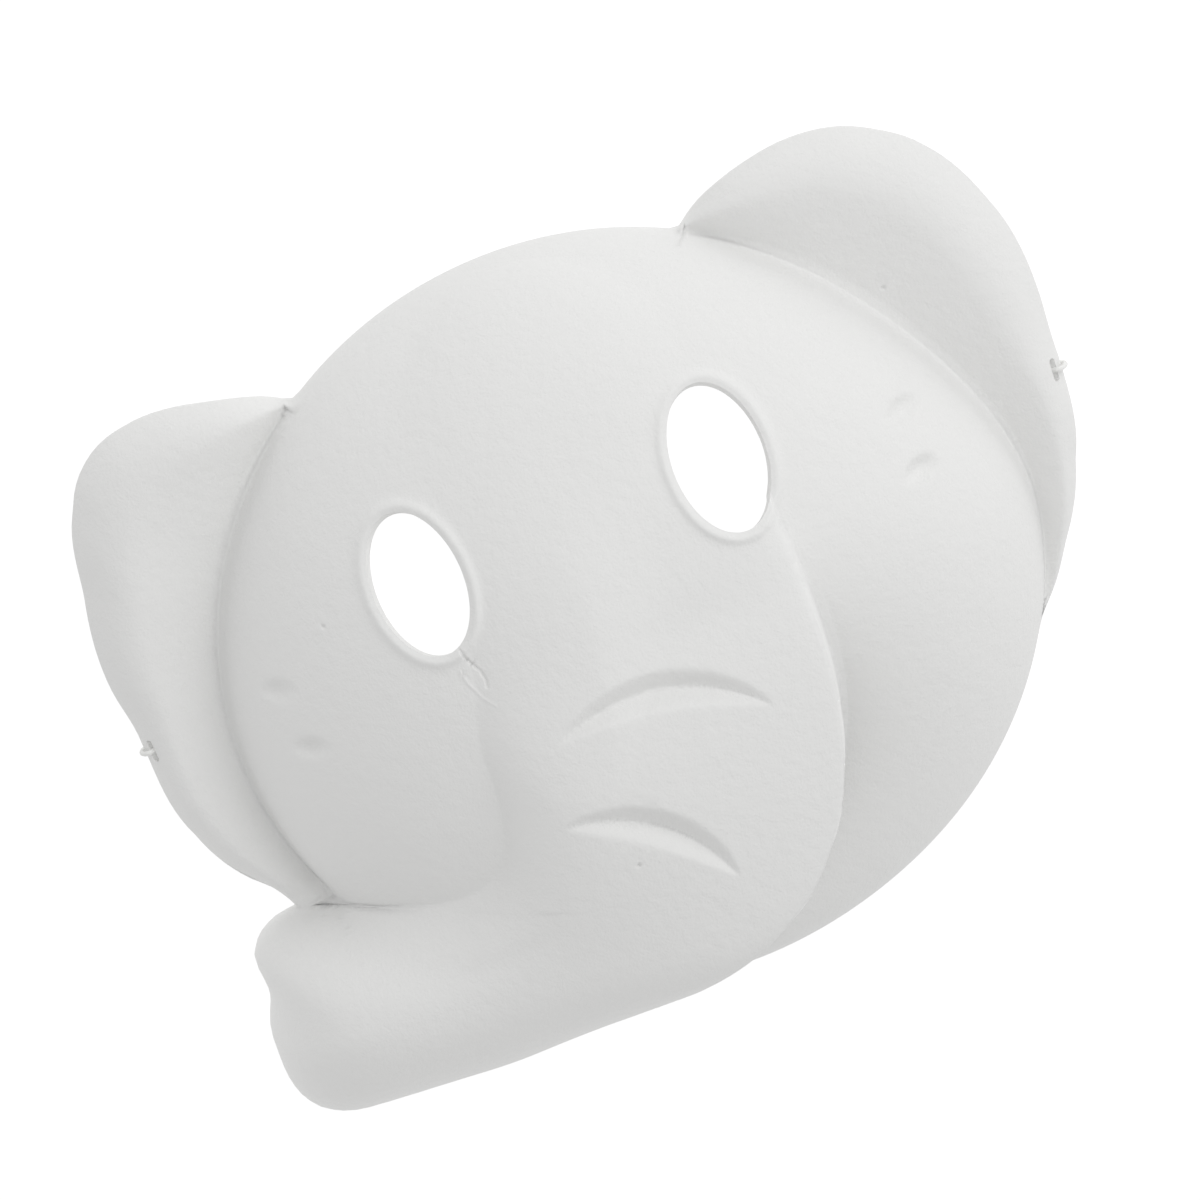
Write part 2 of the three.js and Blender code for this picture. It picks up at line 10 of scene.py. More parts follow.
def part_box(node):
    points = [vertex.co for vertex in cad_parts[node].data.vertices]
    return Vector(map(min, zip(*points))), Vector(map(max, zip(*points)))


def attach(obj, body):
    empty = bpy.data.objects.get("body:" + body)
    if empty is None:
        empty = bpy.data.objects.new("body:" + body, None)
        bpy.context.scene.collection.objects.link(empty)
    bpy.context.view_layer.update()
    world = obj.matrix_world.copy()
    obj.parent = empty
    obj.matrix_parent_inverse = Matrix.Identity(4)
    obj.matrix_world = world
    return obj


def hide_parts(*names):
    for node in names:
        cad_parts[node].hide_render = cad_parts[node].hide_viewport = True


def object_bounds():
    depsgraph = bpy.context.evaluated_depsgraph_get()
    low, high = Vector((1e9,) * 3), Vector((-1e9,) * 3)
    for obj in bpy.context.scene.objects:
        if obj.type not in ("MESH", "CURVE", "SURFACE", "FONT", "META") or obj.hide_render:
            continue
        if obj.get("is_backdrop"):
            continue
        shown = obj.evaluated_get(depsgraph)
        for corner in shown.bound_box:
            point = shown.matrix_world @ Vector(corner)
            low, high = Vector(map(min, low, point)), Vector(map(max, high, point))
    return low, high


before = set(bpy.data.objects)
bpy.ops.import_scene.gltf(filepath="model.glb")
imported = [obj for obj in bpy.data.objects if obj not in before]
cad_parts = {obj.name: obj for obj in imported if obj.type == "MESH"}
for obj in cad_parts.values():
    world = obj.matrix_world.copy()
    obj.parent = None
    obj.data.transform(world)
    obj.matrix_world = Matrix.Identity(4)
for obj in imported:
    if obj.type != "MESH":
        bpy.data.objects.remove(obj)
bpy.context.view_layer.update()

# Signs of x on the viewer's left and right
LEFT, RIGHT = -1, 1

# Driving dimensions in millimetres; x and y are measured from the point midway between the eyes
MM = 0.001
WALL = 1.8
RIM_LIP = 2.5
RIM_ROUND = 0.35
EYE_RING = 1.0
SLIT_RING = 0.3
RING_SPACE = 0.3
EAR_LIFT = 6.0
HEAD = {"y": -31.5, "rise": 60, "fullness": 2.1, "shoulder": 0.52, "top": 86.1, "bottom": 85}
HEAD_SIDE = {"left": 91, "right_low": 96, "right_high": 89.5}
WIDENING = {"height": (-45, 20), "across": (-20, 60)}
JAW = (-80, 0)
EAR = {"x": 68, "y": 0, "crest": 16.5, "crest_at": 0.42, "drop": 6.5, "sag": 1.3}
EAR_BLEND = {"widening": 9, "fall": 1, "fillet": 3, "notch_fillet": 14, "notch": 7, "gap": 6}
EYE = {"x": 34.6, "y": 1.6, "half_width": 10, "half_height": 15.5}
BEAD = {"rise": 0.9, "offset": 1.35, "width": 1.1}
VALLEY = {"depth": 20, "width": 19}
VALLEY_START = {"along": (0.16, 0.42), "height": (4, 40)}
TIP = {"x": -110.7, "y": -87, "lean": 0.08, "corner": 16}
TIP_NOTCH = {"x": -114, "y": -77.5, "radius": 6.5, "corner": 5}
OUTSIDE_FALL = 3
OUTLINE_FILLET = 2
LIFT = (2, 14)

# Ear edges seen from each ear's centre: degrees up from the outward side, left ear's reach, right ear's
EAR_EDGE = [
    (-135, 40, 40),
    (-95, 66, 66),
    (-76, 71.5, 71),
    (-61, 63.2, 62.7),
    (-45, 55.3, 54.5),
    (-20, 44.2, 46.3),
    (-2, 42.7, 44.8),
    (28, 44.6, 48),
    (50, 51.9, 52),
    (61, 55, 53.1),
    (72, 54.4, 53.6),
    (92, 50, 51.8),
    (118, 45.5, 48.3),
    (170, 38, 38),
]

# Trunk sections from the root on the forehead to the tip
TRUNK_COLUMNS = (
    "x", "y", "half", "crest", "inner_square", "outer_square", "inner_fillet", "outer_fillet",
)
TRUNK = [
    (4, 16, 36, 32, 2, 2, 26, 26),
    (5, -8, 38, 54, 2.2, 4, 26, 18),
    (3.8, -29, 40.3, 66, 3, 20, 18, 4),
    (-0.6, -50.5, 41.8, 70, 4, 24, 14, 2),
    (-8.8, -66.7, 39.3, 70, 4.2, 24, 14, 2),
    (-20.9, -78.2, 30.6, 66, 3.8, 7, 16, 2),
    (-37, -87, 24.4, 59, 2.8, 2.6, 20, 2),
    (-56, -90, 23.5, 52, 2.2, 2.15, 24, 2),
    (-76, -89.2, 24, 47, 2, 2, 26, 2),
    (-112, -87, 23.5, 42, 1.9, 1.9, 26, 2),
]
TRUNK_WALL = {"draft": 20, "shoulder": 3}
TRUNK_STEPS = 10
TRUNK_BLUR = 3.0
SIDE_BLUR = 12

# Crescent creases across the trunk: an arc through three points, its depth, and its two walls' widths
CREASES = [
    {"arc": [(-20, -38.8), (4, -36.8), (25, -48.8)], "depth": 3.6},
    {"arc": [(-26.2, -55.9), (-8.7, -62.4), (4.2, -80.1)], "depth": 3.4},
]
CREASE = {"upper": 4.4, "lower": 4.4, "power": 1.25, "narrowing": 0.8}
DENTS = [(74.5, -8), (73, -20.5), (-73, -11), (-71, -24.5)]
DENT = {"half_length": 4.4, "half_width": 2.5, "depth": 2.3, "power": 1.3}

# Flaws of the pulp: a crack below the left eye, the torn lip beside it, and three pits
FLAWS = [
    {"rise": -0.5, "line": [(-31.5, -14), (-31.2, -16), (-29.3, -19.5), (-28.9, -21.7), (-29.2, -23)]},
    {"rise": 0.18, "line": [(-33.4, -18.4), (-32.9, -20.9), (-32, -23.1), (-31.2, -25), (-29.2, -27.2)]},
    {"rise": -0.7, "line": [(81.5, 14.5), (81.7, 14.5)]},
    {"rise": -0.7, "line": [(-57.6, -0.3), (-57.4, -0.3)]},
    {"rise": -0.7, "line": [(-14.6, -69.4), (-14.4, -69.4)]},
]
FLAW_HALF_WIDTH = 0.35

# Slit near each ear's edge, and the elastic through it as the way in from the edge and the height
SLIT = {"angle": -22, "inset": 2, "length": 5.2, "width": 1.3}
CORD_DIAMETER = 1.1
KNOT = {"inset": 6.2, "z": 10.5, "radius": 1.5, "gap": 0.3, "twist": 0.34, "height": 1.2, "steps": 30}
TIE_ROUTE = [
    (6.2, 10.5), (4.9, 9.9), (3.4, 10.3), (2, 11.45), (1.25, 12), (0.5, 11.7), (-0.1, 10.8), (-0.6, 9.7),
    (-0.9, 8.4), (-0.95, 7), (-0.75, 5.6), (0.1, 4.95), (1.3, 4.9), (2.6, 5.5), (3.9, 6.8), (5.2, 8.6),
    (6.2, 10.5),
]
CORD_ROUTE = [
    (-101.5, -19.3, 7.2), (-98.6, -21.6, 3.8), (-94.5, -25, 1.6), (-89, -30, 0.8), (-81, -38.5, 0.7),
    (-71, -47.5, 0.7), (-58, -53, 0.7), (-44, -50, 0.7), (-32, -42, 0.7), (-19, -36.5, 0.7),
    (-5, -39, 0.7), (5, -49, 0.7), (13, -61, 0.7), (25, -69, 0.7), (39, -68, 0.7), (51, -59, 0.7),
    (62, -48, 0.7), (75, -40, 0.7), (88, -33, 0.8), (94.5, -28.5, 1.6), (98.8, -25.2, 3.8),
    (101.8, -22.9, 7.2),
]

# Mesh: spokes from a hub in the trunk's bend, and rings that follow the trunk, the head and the outline
HUB = (-26, -76)
BROW_LINE = {"y": -6, "corner": 24}
SHORTEST = {"cheek": 4, "ear": 3}
TOP_CROWDING = 1.7
RIM_CROWDING = 1.8
CHEEK_CROWDING = 0.5
SEARCH = {"start": 190, "step": 1.0, "halvings": 16, "fine": 4}
EVENING = 12
FINER_MARGIN = {"crease_end": 1.1, "crease_side": 1, "dent": 1.4}

# How far to either side a slope is measured: of the outline, face, a hole's edge, face round an eye
OUTLINE_NUDGE = 0.15
FACE_NUDGE = 0.6
EDGE_NUDGE = 0.02
EYE_NUDGE = 5

# Small widths that keep a division safe, and the distance within which vertices are welded
TINY = 0.01
CREASE_TINY = 0.001
WELD = 1e-4

# Smoothness of the elastic's curve: extra cuts round it and steps between its points
ELASTIC_MESH = {"round": 4, "along": 8}

# Grain of the pulp: size of its lumps and their height, from long waves to felted fibre
PULP_GRAIN = [(12, 0.3), (2.4, 0.2), (0.6, 0.1)]

# Photograph's camera: its turn about the mask in degrees, its distance, its lens, and where it looks
CAMERA = {"up": 10, "right": 3, "roll": 23.6, "distance": 900, "aim": (0, 0, 45)}
LENS = {"focal_length": 126.9, "sensor": 36}
AIM_SHIFT = (6.38, -16.81)

# Studio floor: half its width in metres, and how far it lies under the rim
FLOOR = {"half_width": 4, "drop": 0.0002}

# Soft studio light: name, size in metres, watts, way to it as right, up and towards the camera, distance
WORLD_LIGHT = 0.58
SOFTBOXES = [
    ("top_softbox", 2.4, 4, (0, 0, 1), 1.8),
    ("key_softbox", 1.0, 4.5, (0.42, 0.5, 0.76), 1.2),
]


def soft_min(a, b, k):
    h = np.clip(0.5 + 0.5 * (b - a) / k, 0, 1)
    return b * (1 - h) + a * h - k * h * (1 - h)


def soft_max(a, b, k):
    return -soft_min(-a, -b, k)


def ease(value, low, high):
    t = np.clip((value - low) / (high - low), 0, 1)
    return t * t * (3 - 2 * t)


def mix(a, b, t):
    return a + (b - a) * t


def catmull_rom(a, b, c, d, t):
    bend = 2 * a - 5 * b + 4 * c - d
    turn = 3 * b - a - 3 * c + d
    return 0.5 * (2 * b + (c - a) * t + bend * t**2 + turn * t**3)


def smooth_rows(rows, steps):
    """The rows of a table joined by a smooth line, with steps samples to each row."""
    rows = np.array(rows, float)
    rows = np.vstack([2 * rows[0] - rows[1], rows, 2 * rows[-1] - rows[-2]])
    t = np.linspace(0, 1, steps, endpoint=False)[:, None]
    spans = [catmull_rom(*rows[i:i + 4], t) for i in range(len(rows) - 3)]
    return np.vstack([*spans, rows[-2:-1]])


LINE = smooth_rows(TRUNK, TRUNK_STEPS)
ALONG = np.linspace(0, 1, len(LINE))


def trunk_at(x, y):
    """The trunk at points: edge is negative inside its plan, and the rest blends the nearest sections."""
    gaps = np.hypot(x[..., None] - LINE[:, 0], y[..., None] - LINE[:, 1])
    nearest = gaps.min(-1)
    weight = np.exp((nearest[..., None] - gaps) / TRUNK_BLUR)
    weight /= weight.sum(-1, keepdims=True)
    at = {name: weight @ LINE[:, k] for k, name in enumerate(TRUNK_COLUMNS)}
    at["along"] = weight @ ALONG
    end = TIP["x"] - x + TIP["lean"] * (y - TIP["y"])
    notch = TIP_NOTCH["radius"] - np.hypot(x - TIP_NOTCH["x"], y - TIP_NOTCH["y"])
    at["edge"] = soft_max(soft_max(nearest - at["half"], end, TIP["corner"]), notch, TIP_NOTCH["corner"])
    near = np.clip(gaps.argmin(-1), 1, len(LINE) - 2)
    run_x = LINE[near + 1, 0] - LINE[near - 1, 0]
    run_y = LINE[near + 1, 1] - LINE[near - 1, 1]
    aside = (run_y * (x - at["x"]) - run_x * (y - at["y"])) / np.hypot(run_x, run_y)
    at["side"] = ease(aside, -SIDE_BLUR, SIDE_BLUR)
    for name in ("square", "fillet"):
        at[name] = mix(at["outer_" + name], at["inner_" + name], at["side"])
    return at


def ear_reach(angle, sign):
    angles, left, right = np.array(EAR_EDGE, float).T
    reaches = left if sign == LEFT else right
    count = len(angles)
    turned = angles[0] + np.mod(angle - angles[0], 360)
    row = np.clip(np.searchsorted(angles, turned, side="right") - 1, 0, count - 1)
    after = np.where(row + 1 < count, angles[(row + 1) % count], angles[0] + 360)
    t = (turned - angles[row]) / (after - angles[row])
    return catmull_rom(*(reaches[(row + k) % count] for k in (-1, 0, 1, 2)), t)


def ear_edge(x, y, sign):
    out = sign * x - EAR["x"]
    up = y - EAR["y"]
    return np.hypot(out, up) - ear_reach(np.degrees(np.arctan2(up, out)), sign)


def head_ratio(x, y):
    right = mix(HEAD_SIDE["right_low"], HEAD_SIDE["right_high"], ease(y, *WIDENING["height"]))
    half_width = mix(HEAD_SIDE["left"], right, ease(x, *WIDENING["across"]))
    half_height = mix(HEAD["bottom"], HEAD["top"], ease(y, *JAW))
    return np.hypot(x / half_width, (y - HEAD["y"]) / half_height)


def head_edge(x, y):
    return (head_ratio(x, y) - 1) * HEAD["top"]


def head_height(x, y):
    dome = np.clip(1 - head_ratio(x, y) ** HEAD["fullness"], 0, 1) ** HEAD["shoulder"]
    return RIM_LIP + HEAD["rise"] * dome - OUTSIDE_FALL * np.maximum(head_edge(x, y), 0)


def ear_height(edge, gap):
    """Height of an ear inside its edge and at a gap from the head: a roll that sags to the head."""
    inside = np.maximum(-edge, 0)
    width = inside + np.maximum(gap, 0) + TINY
    full = 1 - np.exp(-width / EAR_BLEND["widening"])
    foot = RIM_LIP + EAR_LIFT * ease(gap, *LIFT)
    crest = mix(RIM_LIP, EAR["crest"], full)
    roll = 1 - np.maximum(1 - inside / width / EAR["crest_at"], 0) ** 2
    sag = np.maximum((inside / width - EAR["crest_at"]) / (1 - EAR["crest_at"]), 0) ** EAR["sag"]
    return mix(foot, crest, roll) - EAR["drop"] * full * sag - EAR_BLEND["fall"] * np.maximum(edge, 0)


def trunk_height(trunk):
    across = np.clip(1 + trunk["edge"] / trunk["half"], 0, 1)
    arch = (1 - across ** trunk["square"]) ** (1 / trunk["square"])
    top = RIM_LIP + (trunk["crest"] - RIM_LIP) * arch - OUTSIDE_FALL * np.maximum(trunk["edge"], 0)
    wall = RIM_LIP - TRUNK_WALL["draft"] * trunk["edge"]
    return mix(soft_min(top, wall, TRUNK_WALL["shoulder"]), top, trunk["side"])


def face(x, y):
    """Height of the outer face: the trunk grows out of the brow, and the cheeks sink beside it."""
    trunk = trunk_at(x, y)
    z = head_height(x, y)
    sink = VALLEY["depth"] * (1 - trunk["side"]) * np.exp(-np.maximum(trunk["edge"], 0) / VALLEY["width"])
    sink *= ease(trunk["along"], *VALLEY_START["along"])
    z = z - sink * ease(z, *VALLEY_START["height"])
    gap = soft_min(head_edge(x, y), trunk["edge"], EAR_BLEND["gap"])
    for sign in (LEFT, RIGHT):
        edge = ear_edge(x, y, sign)
        narrow = np.exp(-(np.abs(edge) + np.maximum(gap, 0)) / EAR_BLEND["notch"])
        fillet = mix(EAR_BLEND["fillet"], EAR_BLEND["notch_fillet"], narrow)
        z = soft_max(z, ear_height(edge, gap), fillet)
    return soft_max(z, trunk_height(trunk), trunk["fillet"])


def outline_edge(x, y):
    edge = soft_min(head_edge(x, y), trunk_at(x, y)["edge"], OUTLINE_FILLET)
    for sign in (LEFT, RIGHT):
        edge = soft_min(edge, ear_edge(x, y, sign), OUTLINE_FILLET)
    return edge


def trunk_ring_edge(x, y):
    return soft_max(trunk_at(x, y)["edge"], y - BROW_LINE["y"], BROW_LINE["corner"])


def rim_height(x, y):
    away = np.minimum(head_edge(x, y), trunk_at(x, y)["edge"])
    return EAR_LIFT * ease(away, *LIFT)


def slope_of(field, x, y, nudge=OUTLINE_NUDGE):
    across = (field(x + nudge, y) - field(x - nudge, y)) / (2 * nudge)
    up = (field(x, y + nudge) - field(x, y - nudge)) / (2 * nudge)
    return across, up


def eye_gap(x, y, sign):
    """Distance outside an eye hole's edge, negative in the hole."""
    across, up = x - sign * EYE["x"], y - EYE["y"]
    ratio = np.maximum(np.hypot(across / EYE["half_width"], up / EYE["half_height"]), TINY)
    slope = np.hypot(across / EYE["half_width"] ** 2, up / EYE["half_height"] ** 2) / ratio
    return (ratio - 1) / np.maximum(slope, TINY)


def slit_place(sign):
    """The ear's edge beside its slit, and the level way out across that edge."""
    angle = math.radians(SLIT["angle"])
    reach = float(ear_reach(np.array(SLIT["angle"], float), sign))
    edge = np.array([sign * (EAR["x"] + reach * math.cos(angle)), EAR["y"] + reach * math.sin(angle)])
    out = np.concatenate(slope_of(outline_edge, edge[:1], edge[1:]))
    return edge, out / np.hypot(*out)


def slit_gap(x, y, sign):
    """Distance outside a slit's edge, negative in the slit."""
    edge, out = slit_place(sign)
    centre = edge - SLIT["inset"] * out
    across = (x - centre[0]) * out[0] + (y - centre[1]) * out[1]
    along = (y - centre[1]) * out[0] - (x - centre[0]) * out[1]
    past = np.maximum(np.abs(along) - (SLIT["length"] - SLIT["width"]) / 2, 0)
    return np.hypot(across, past) - SLIT["width"] / 2


def crease_place(crease, x, y):
    """Way up across a crease from its line, and way along it from -1 to 1."""
    (ax, ay), (bx, by), (cx, cy) = crease["arc"]
    twice = 2 * (ax * (by - cy) + bx * (cy - ay) + cx * (ay - by))
    a, b, c = ax**2 + ay**2, bx**2 + by**2, cx**2 + cy**2
    mid_x = (a * (by - cy) + b * (cy - ay) + c * (ay - by)) / twice
    mid_y = (a * (cx - bx) + b * (ax - cx) + c * (bx - ax)) / twice
    start = math.atan2(ay - mid_y, ax - mid_x)
    end = math.atan2(cy - mid_y, cx - mid_x)
    across = np.hypot(x - mid_x, y - mid_y) - math.hypot(ax - mid_x, ay - mid_y)
    along = (np.arctan2(y - mid_y, x - mid_x) - (start + end) / 2) / (abs(end - start) / 2)
    return across, along


def flaw_gap(flaw, x, y):
    """Distance from a flaw's line."""
    gaps = []
    for (ax, ay), (bx, by) in zip(flaw["line"], flaw["line"][1:]):
        run_x, run_y = bx - ax, by - ay
        t = np.clip(((x - ax) * run_x + (y - ay) * run_y) / (run_x**2 + run_y**2), 0, 1)
        gaps.append(np.hypot(x - ax - t * run_x, y - ay - t * run_y))
    return np.min(gaps, axis=0)


def details(x, y):
    """Height that the beads, dents, creases and flaws add to the face."""
    z = np.zeros_like(x)
    for sign in (LEFT, RIGHT):
        z += BEAD["rise"] * np.exp(-(((eye_gap(x, y, sign) - BEAD["offset"]) / BEAD["width"]) ** 2))
    for dent_x, dent_y in DENTS:
        away = np.hypot((x - dent_x) / DENT["half_length"], (y - dent_y) / DENT["half_width"])
        z -= DENT["depth"] * np.clip(1 - away**2, 0, 1) ** DENT["power"]
    for crease in CREASES:
        across, along = crease_place(crease, x, y)
        taper = np.clip(1 - along**2, 0, 1)
        side = np.where(across > 0, CREASE["upper"], CREASE["lower"])
        width = side * taper ** CREASE["narrowing"] + CREASE_TINY
        z -= crease["depth"] * taper * np.clip(1 - np.abs(across) / width, 0, 1) ** CREASE["power"]
    for flaw in FLAWS:
        z += flaw["rise"] * np.exp(-((flaw_gap(flaw, x, y) / FLAW_HALF_WIDTH) ** 2))
    return z


def reach_of(edge, angles):
    """Way from the hub to where each spoke last crosses an edge."""
    outer = np.full(angles.shape, float(SEARCH["start"]))
    outside = np.ones(angles.shape, bool)
    while outside.any():
        r = outer - SEARCH["step"]
        outside &= edge(HUB[0] + r * np.cos(angles), HUB[1] + r * np.sin(angles)) >= 0
        outer = np.where(outside, r, outer)
    inner = outer - SEARCH["step"]
    for _ in range(SEARCH["halvings"]):
        r = (inner + outer) / 2
        inside = edge(HUB[0] + r * np.cos(angles), HUB[1] + r * np.sin(angles)) < 0
        inner, outer = np.where(inside, r, inner), np.where(inside, outer, r)
    return inner


def spoke_angles(spokes):
    """Angles of spokes whose ends are evenly spaced along the outline."""
    angles = np.linspace(0, 2 * math.pi, SEARCH["fine"] * spokes + 1)
    reach = reach_of(outline_edge, angles)
    ends = reach * np.exp(1j * angles)
    length = np.concatenate([[0], np.cumsum(np.abs(np.diff(ends)))])
    return np.interp(length[-1] * np.arange(spokes) / spokes, length, angles)


def plan_grid(mesh):
    """Plan of the mesh as x and y for each ring and spoke, from the hub to the outline."""
    angles = spoke_angles(mesh["spokes"])
    rim = reach_of(outline_edge, angles)
    trunk = np.minimum(reach_of(trunk_ring_edge, angles), rim - SHORTEST["cheek"] - SHORTEST["ear"])
    head = np.clip(reach_of(head_edge, angles), trunk + SHORTEST["cheek"], rim - SHORTEST["ear"])
    top = np.arange(mesh["top"])[:, None] / mesh["top"]
    cheek = np.arange(mesh["cheek"])[:, None] / mesh["cheek"]
    ear = np.arange(mesh["ear"] + 1)[:, None] / mesh["ear"]
    swing = (1 - np.cos(math.pi * cheek)) / 2
    cheek = cheek + (swing - cheek) * CHEEK_CROWDING
    radii = np.vstack([
        trunk * (1 - (1 - top) ** TOP_CROWDING),
        trunk + (head - trunk) * cheek,
        head + (rim - head) * (1 - (1 - ear) ** RIM_CROWDING),
    ])
    return HUB[0] + radii * np.cos(angles), HUB[1] + radii * np.sin(angles)


def places(points):
    """x, y and z of vertices as arrays."""
    return np.array([v.co for v in points], float).reshape(-1, 3).T


def polar_sheet(mesh):
    """A grid whose columns become spokes and whose rows become rings, welded at the hub and seam."""
    x, y = plan_grid(mesh)
    rings, spokes = x.shape
    bm = bmesh.new()
    bm.edges.layers.int.new("loop")
    verts = bmesh.ops.create_grid(bm, x_segments=spokes, y_segments=rings - 1, size=0.5)["verts"]
    for v in verts:
        spoke = round((v.co.x + 0.5) * spokes) % spokes
        ring = round((v.co.y + 0.5) * (rings - 1))
        v.co = (x[ring, spoke], y[ring, spoke], 0)
    bmesh.ops.remove_doubles(bm, verts=bm.verts, dist=WELD)
    bmesh.ops.recalc_face_normals(bm, faces=bm.faces)
    return bm


def refine(bm, near, times):
    """Halves the faces whose middles near() picks, a few times over."""
    for _ in range(times):
        faces = list(bm.faces)
        x, y, _z = np.array([f.calc_center_median() for f in faces]).T
        picked = [faces[i] for i in np.flatnonzero(near(x, y))]
        edges = {e for f in picked for e in f.edges}
        bmesh.ops.subdivide_edges(bm, edges=list(edges), cuts=1, use_grid_fill=True)


def cut_hole(bm, hole, margin):
    """Deletes the faces within a margin of a hole and spaces the vertices round them along its edge."""
    def gap(x, y):
        return hole(x, y) - margin

    faces = list(bm.faces)
    x, y, _z = np.array([f.calc_center_median() for f in faces]).T
    doomed = [faces[i] for i in np.flatnonzero(gap(x, y) < 0)]
    rim = {e for f in doomed for e in f.edges}
    bmesh.ops.delete(bm, geom=doomed, context="FACES")
    rim = [e for e in rim if e.is_valid and e.is_boundary]
    verts = list({v for e in rim for v in e.verts})
    number = {v: i for i, v in enumerate(verts)}
    beside = [[number[e.other_vert(v)] for e in v.link_edges if e.is_boundary] for v in verts]
    before, after = np.array(beside).T
    x, y, _z = places(verts)
    for _ in range(EVENING):
        x = (x + (x[before] + x[after]) / 2) / 2
        y = (y + (y[before] + y[after]) / 2) / 2
        across, up = slope_of(gap, x, y, EDGE_NUDGE)
        step = gap(x, y) / np.maximum(across**2 + up**2, TINY)
        x, y = x - step * across, y - step * up
    for v, new_x, new_y in zip(verts, x, y):
        v.co.x, v.co.y = new_x, new_y
    return rim


# Holes: distance outside the edge, width of the ring round it on the inner face, and nudge for its slope
HOLES = [
    *((lambda x, y, s=sign: eye_gap(x, y, s), EYE_RING, EYE_NUDGE) for sign in (LEFT, RIGHT)),
    *((lambda x, y, s=sign: slit_gap(x, y, s), SLIT_RING, FACE_NUDGE) for sign in (LEFT, RIGHT)),
]


def near_holes(margin):
    return lambda x, y: np.min([np.abs(gap(x, y)) for gap, _ring, _nudge in HOLES], axis=0) < margin


def near_creases(x, y):
    close = np.zeros(x.shape, bool)
    for crease in CREASES:
        across, along = crease_place(crease, x, y)
        above = across < CREASE["upper"] + FINER_MARGIN["crease_side"]
        below = across > -CREASE["lower"] - FINER_MARGIN["crease_side"]
        close |= (np.abs(along) < FINER_MARGIN["crease_end"]) & above & below
    return close


def near_marks(x, y):
    close = near_creases(x, y)
    for dent_x, dent_y in DENTS:
        away = np.hypot((x - dent_x) / DENT["half_length"], (y - dent_y) / DENT["half_width"])
        close |= away < FINER_MARGIN["dent"]
    return close


def near_flaws(margin):
    return lambda x, y: np.min([flaw_gap(flaw, x, y) for flaw in FLAWS], axis=0) < margin


def set_in(x, y, z, depth, nudge=FACE_NUDGE):
    """Places at a depth under points of the outer face, square to it."""
    across, up = slope_of(face, x, y, nudge)
    steep = np.sqrt(1 + across**2 + up**2)
    return x + depth * across / steep, y + depth * up / steep, z - depth / steep


def set_in_rim(x, y, inset):
    """Places at a level inset from points of the outline."""
    across, up = slope_of(outline_edge, x, y)
    steep = np.hypot(across, up)
    return x - inset * across / steep, y - inset * up / steep


def move_to(verts, x, y, z):
    for v, *place in zip(verts, x, y, z):
        v.co = place


# Meshes of the two faces: counts of spokes and rings, then what is made finer and how many times
OUTER_MESH = {
    "spokes": 300, "top": 44, "cheek": 40, "ear": 24,
    "finer": [
        (near_marks, 1), (near_creases, 1), (near_holes(4.2), 1), (near_holes(3), 1),
        (near_flaws(1.6), 2), (near_flaws(0.9), 1),
    ],
}
INNER_MESH = {
    "spokes": 300, "top": 14, "cheek": 16, "ear": 12,
    "finer": [(near_creases, 1), (near_holes(3.6), 2)],
}


def sheet_on_face(mesh, depth):
    """The outer face, or the inner one set in by depth, with the edges of its rim and holes numbered."""
    bm = polar_sheet(mesh)
    for near, times in mesh["finer"]:
        refine(bm, near, times)
    outline = [e for e in bm.edges if e.is_boundary]
    rim = list({v for e in outline for v in e.verts})
    holes = [cut_hole(bm, gap, ring + RING_SPACE if depth else 0) for gap, ring, _nudge in HOLES]
    mark = bm.edges.layers.int["loop"]
    for number, loop in enumerate([outline, *holes], start=1):
        for e in loop:
            e[mark] = number
    on_rim = set(rim)
    verts = [v for v in bm.verts if v not in on_rim]
    x, y, _z = places(verts)
    foot = rim_height(x, y)
    z = np.maximum(face(x, y) + details(x, y), foot + RIM_LIP)
    if depth:
        x, y, z = set_in(x, y, z, depth)
        z = np.maximum(z, foot + RIM_LIP - depth)
    move_to(verts, x, y, z)
    x, y, _z = places(rim)
    move_to(rim, *set_in_rim(x, y, depth), rim_height(x, y) + RIM_LIP)
    return bm


def object_of(name, data, material):
    made = bpy.data.objects.new(name, data)
    made.data.materials.append(material)
    bpy.context.scene.collection.objects.link(made)
    return made


def colour(text):
    """Linear colour of an sRGB hex text."""
    parts = [int(text[i:i + 2], 16) / 255 for i in (1, 3, 5)]
    return [p / 12.92 if p <= 0.04045 else ((p + 0.055) / 1.055) ** 2.4 for p in parts] + [1]


def add_node(tree, kind, settings=None, **inputs):
    """Adds a node; inputs are values, or sockets to link from, with _ for a space in a socket's name."""
    node = tree.nodes.new("ShaderNode" + kind)
    for key, value in (settings or {}).items():
        setattr(node, key, value)
    for key, value in inputs.items():
        socket = node.inputs[int(key[1:])] if key[0] == "_" else node.inputs[key.replace("_", " ")]
        if isinstance(value, bpy.types.NodeSocket):
            tree.links.new(value, socket)
        else:
            socket.default_value = value
    return node


def new_material(name):
    material = bpy.data.materials.new(name)
    material.use_nodes = True
    tree = material.node_tree
    tree.nodes.clear()
    return material, tree


def close_material(tree, shader):
    add_node(tree, "OutputMaterial", Surface=shader.outputs[0])


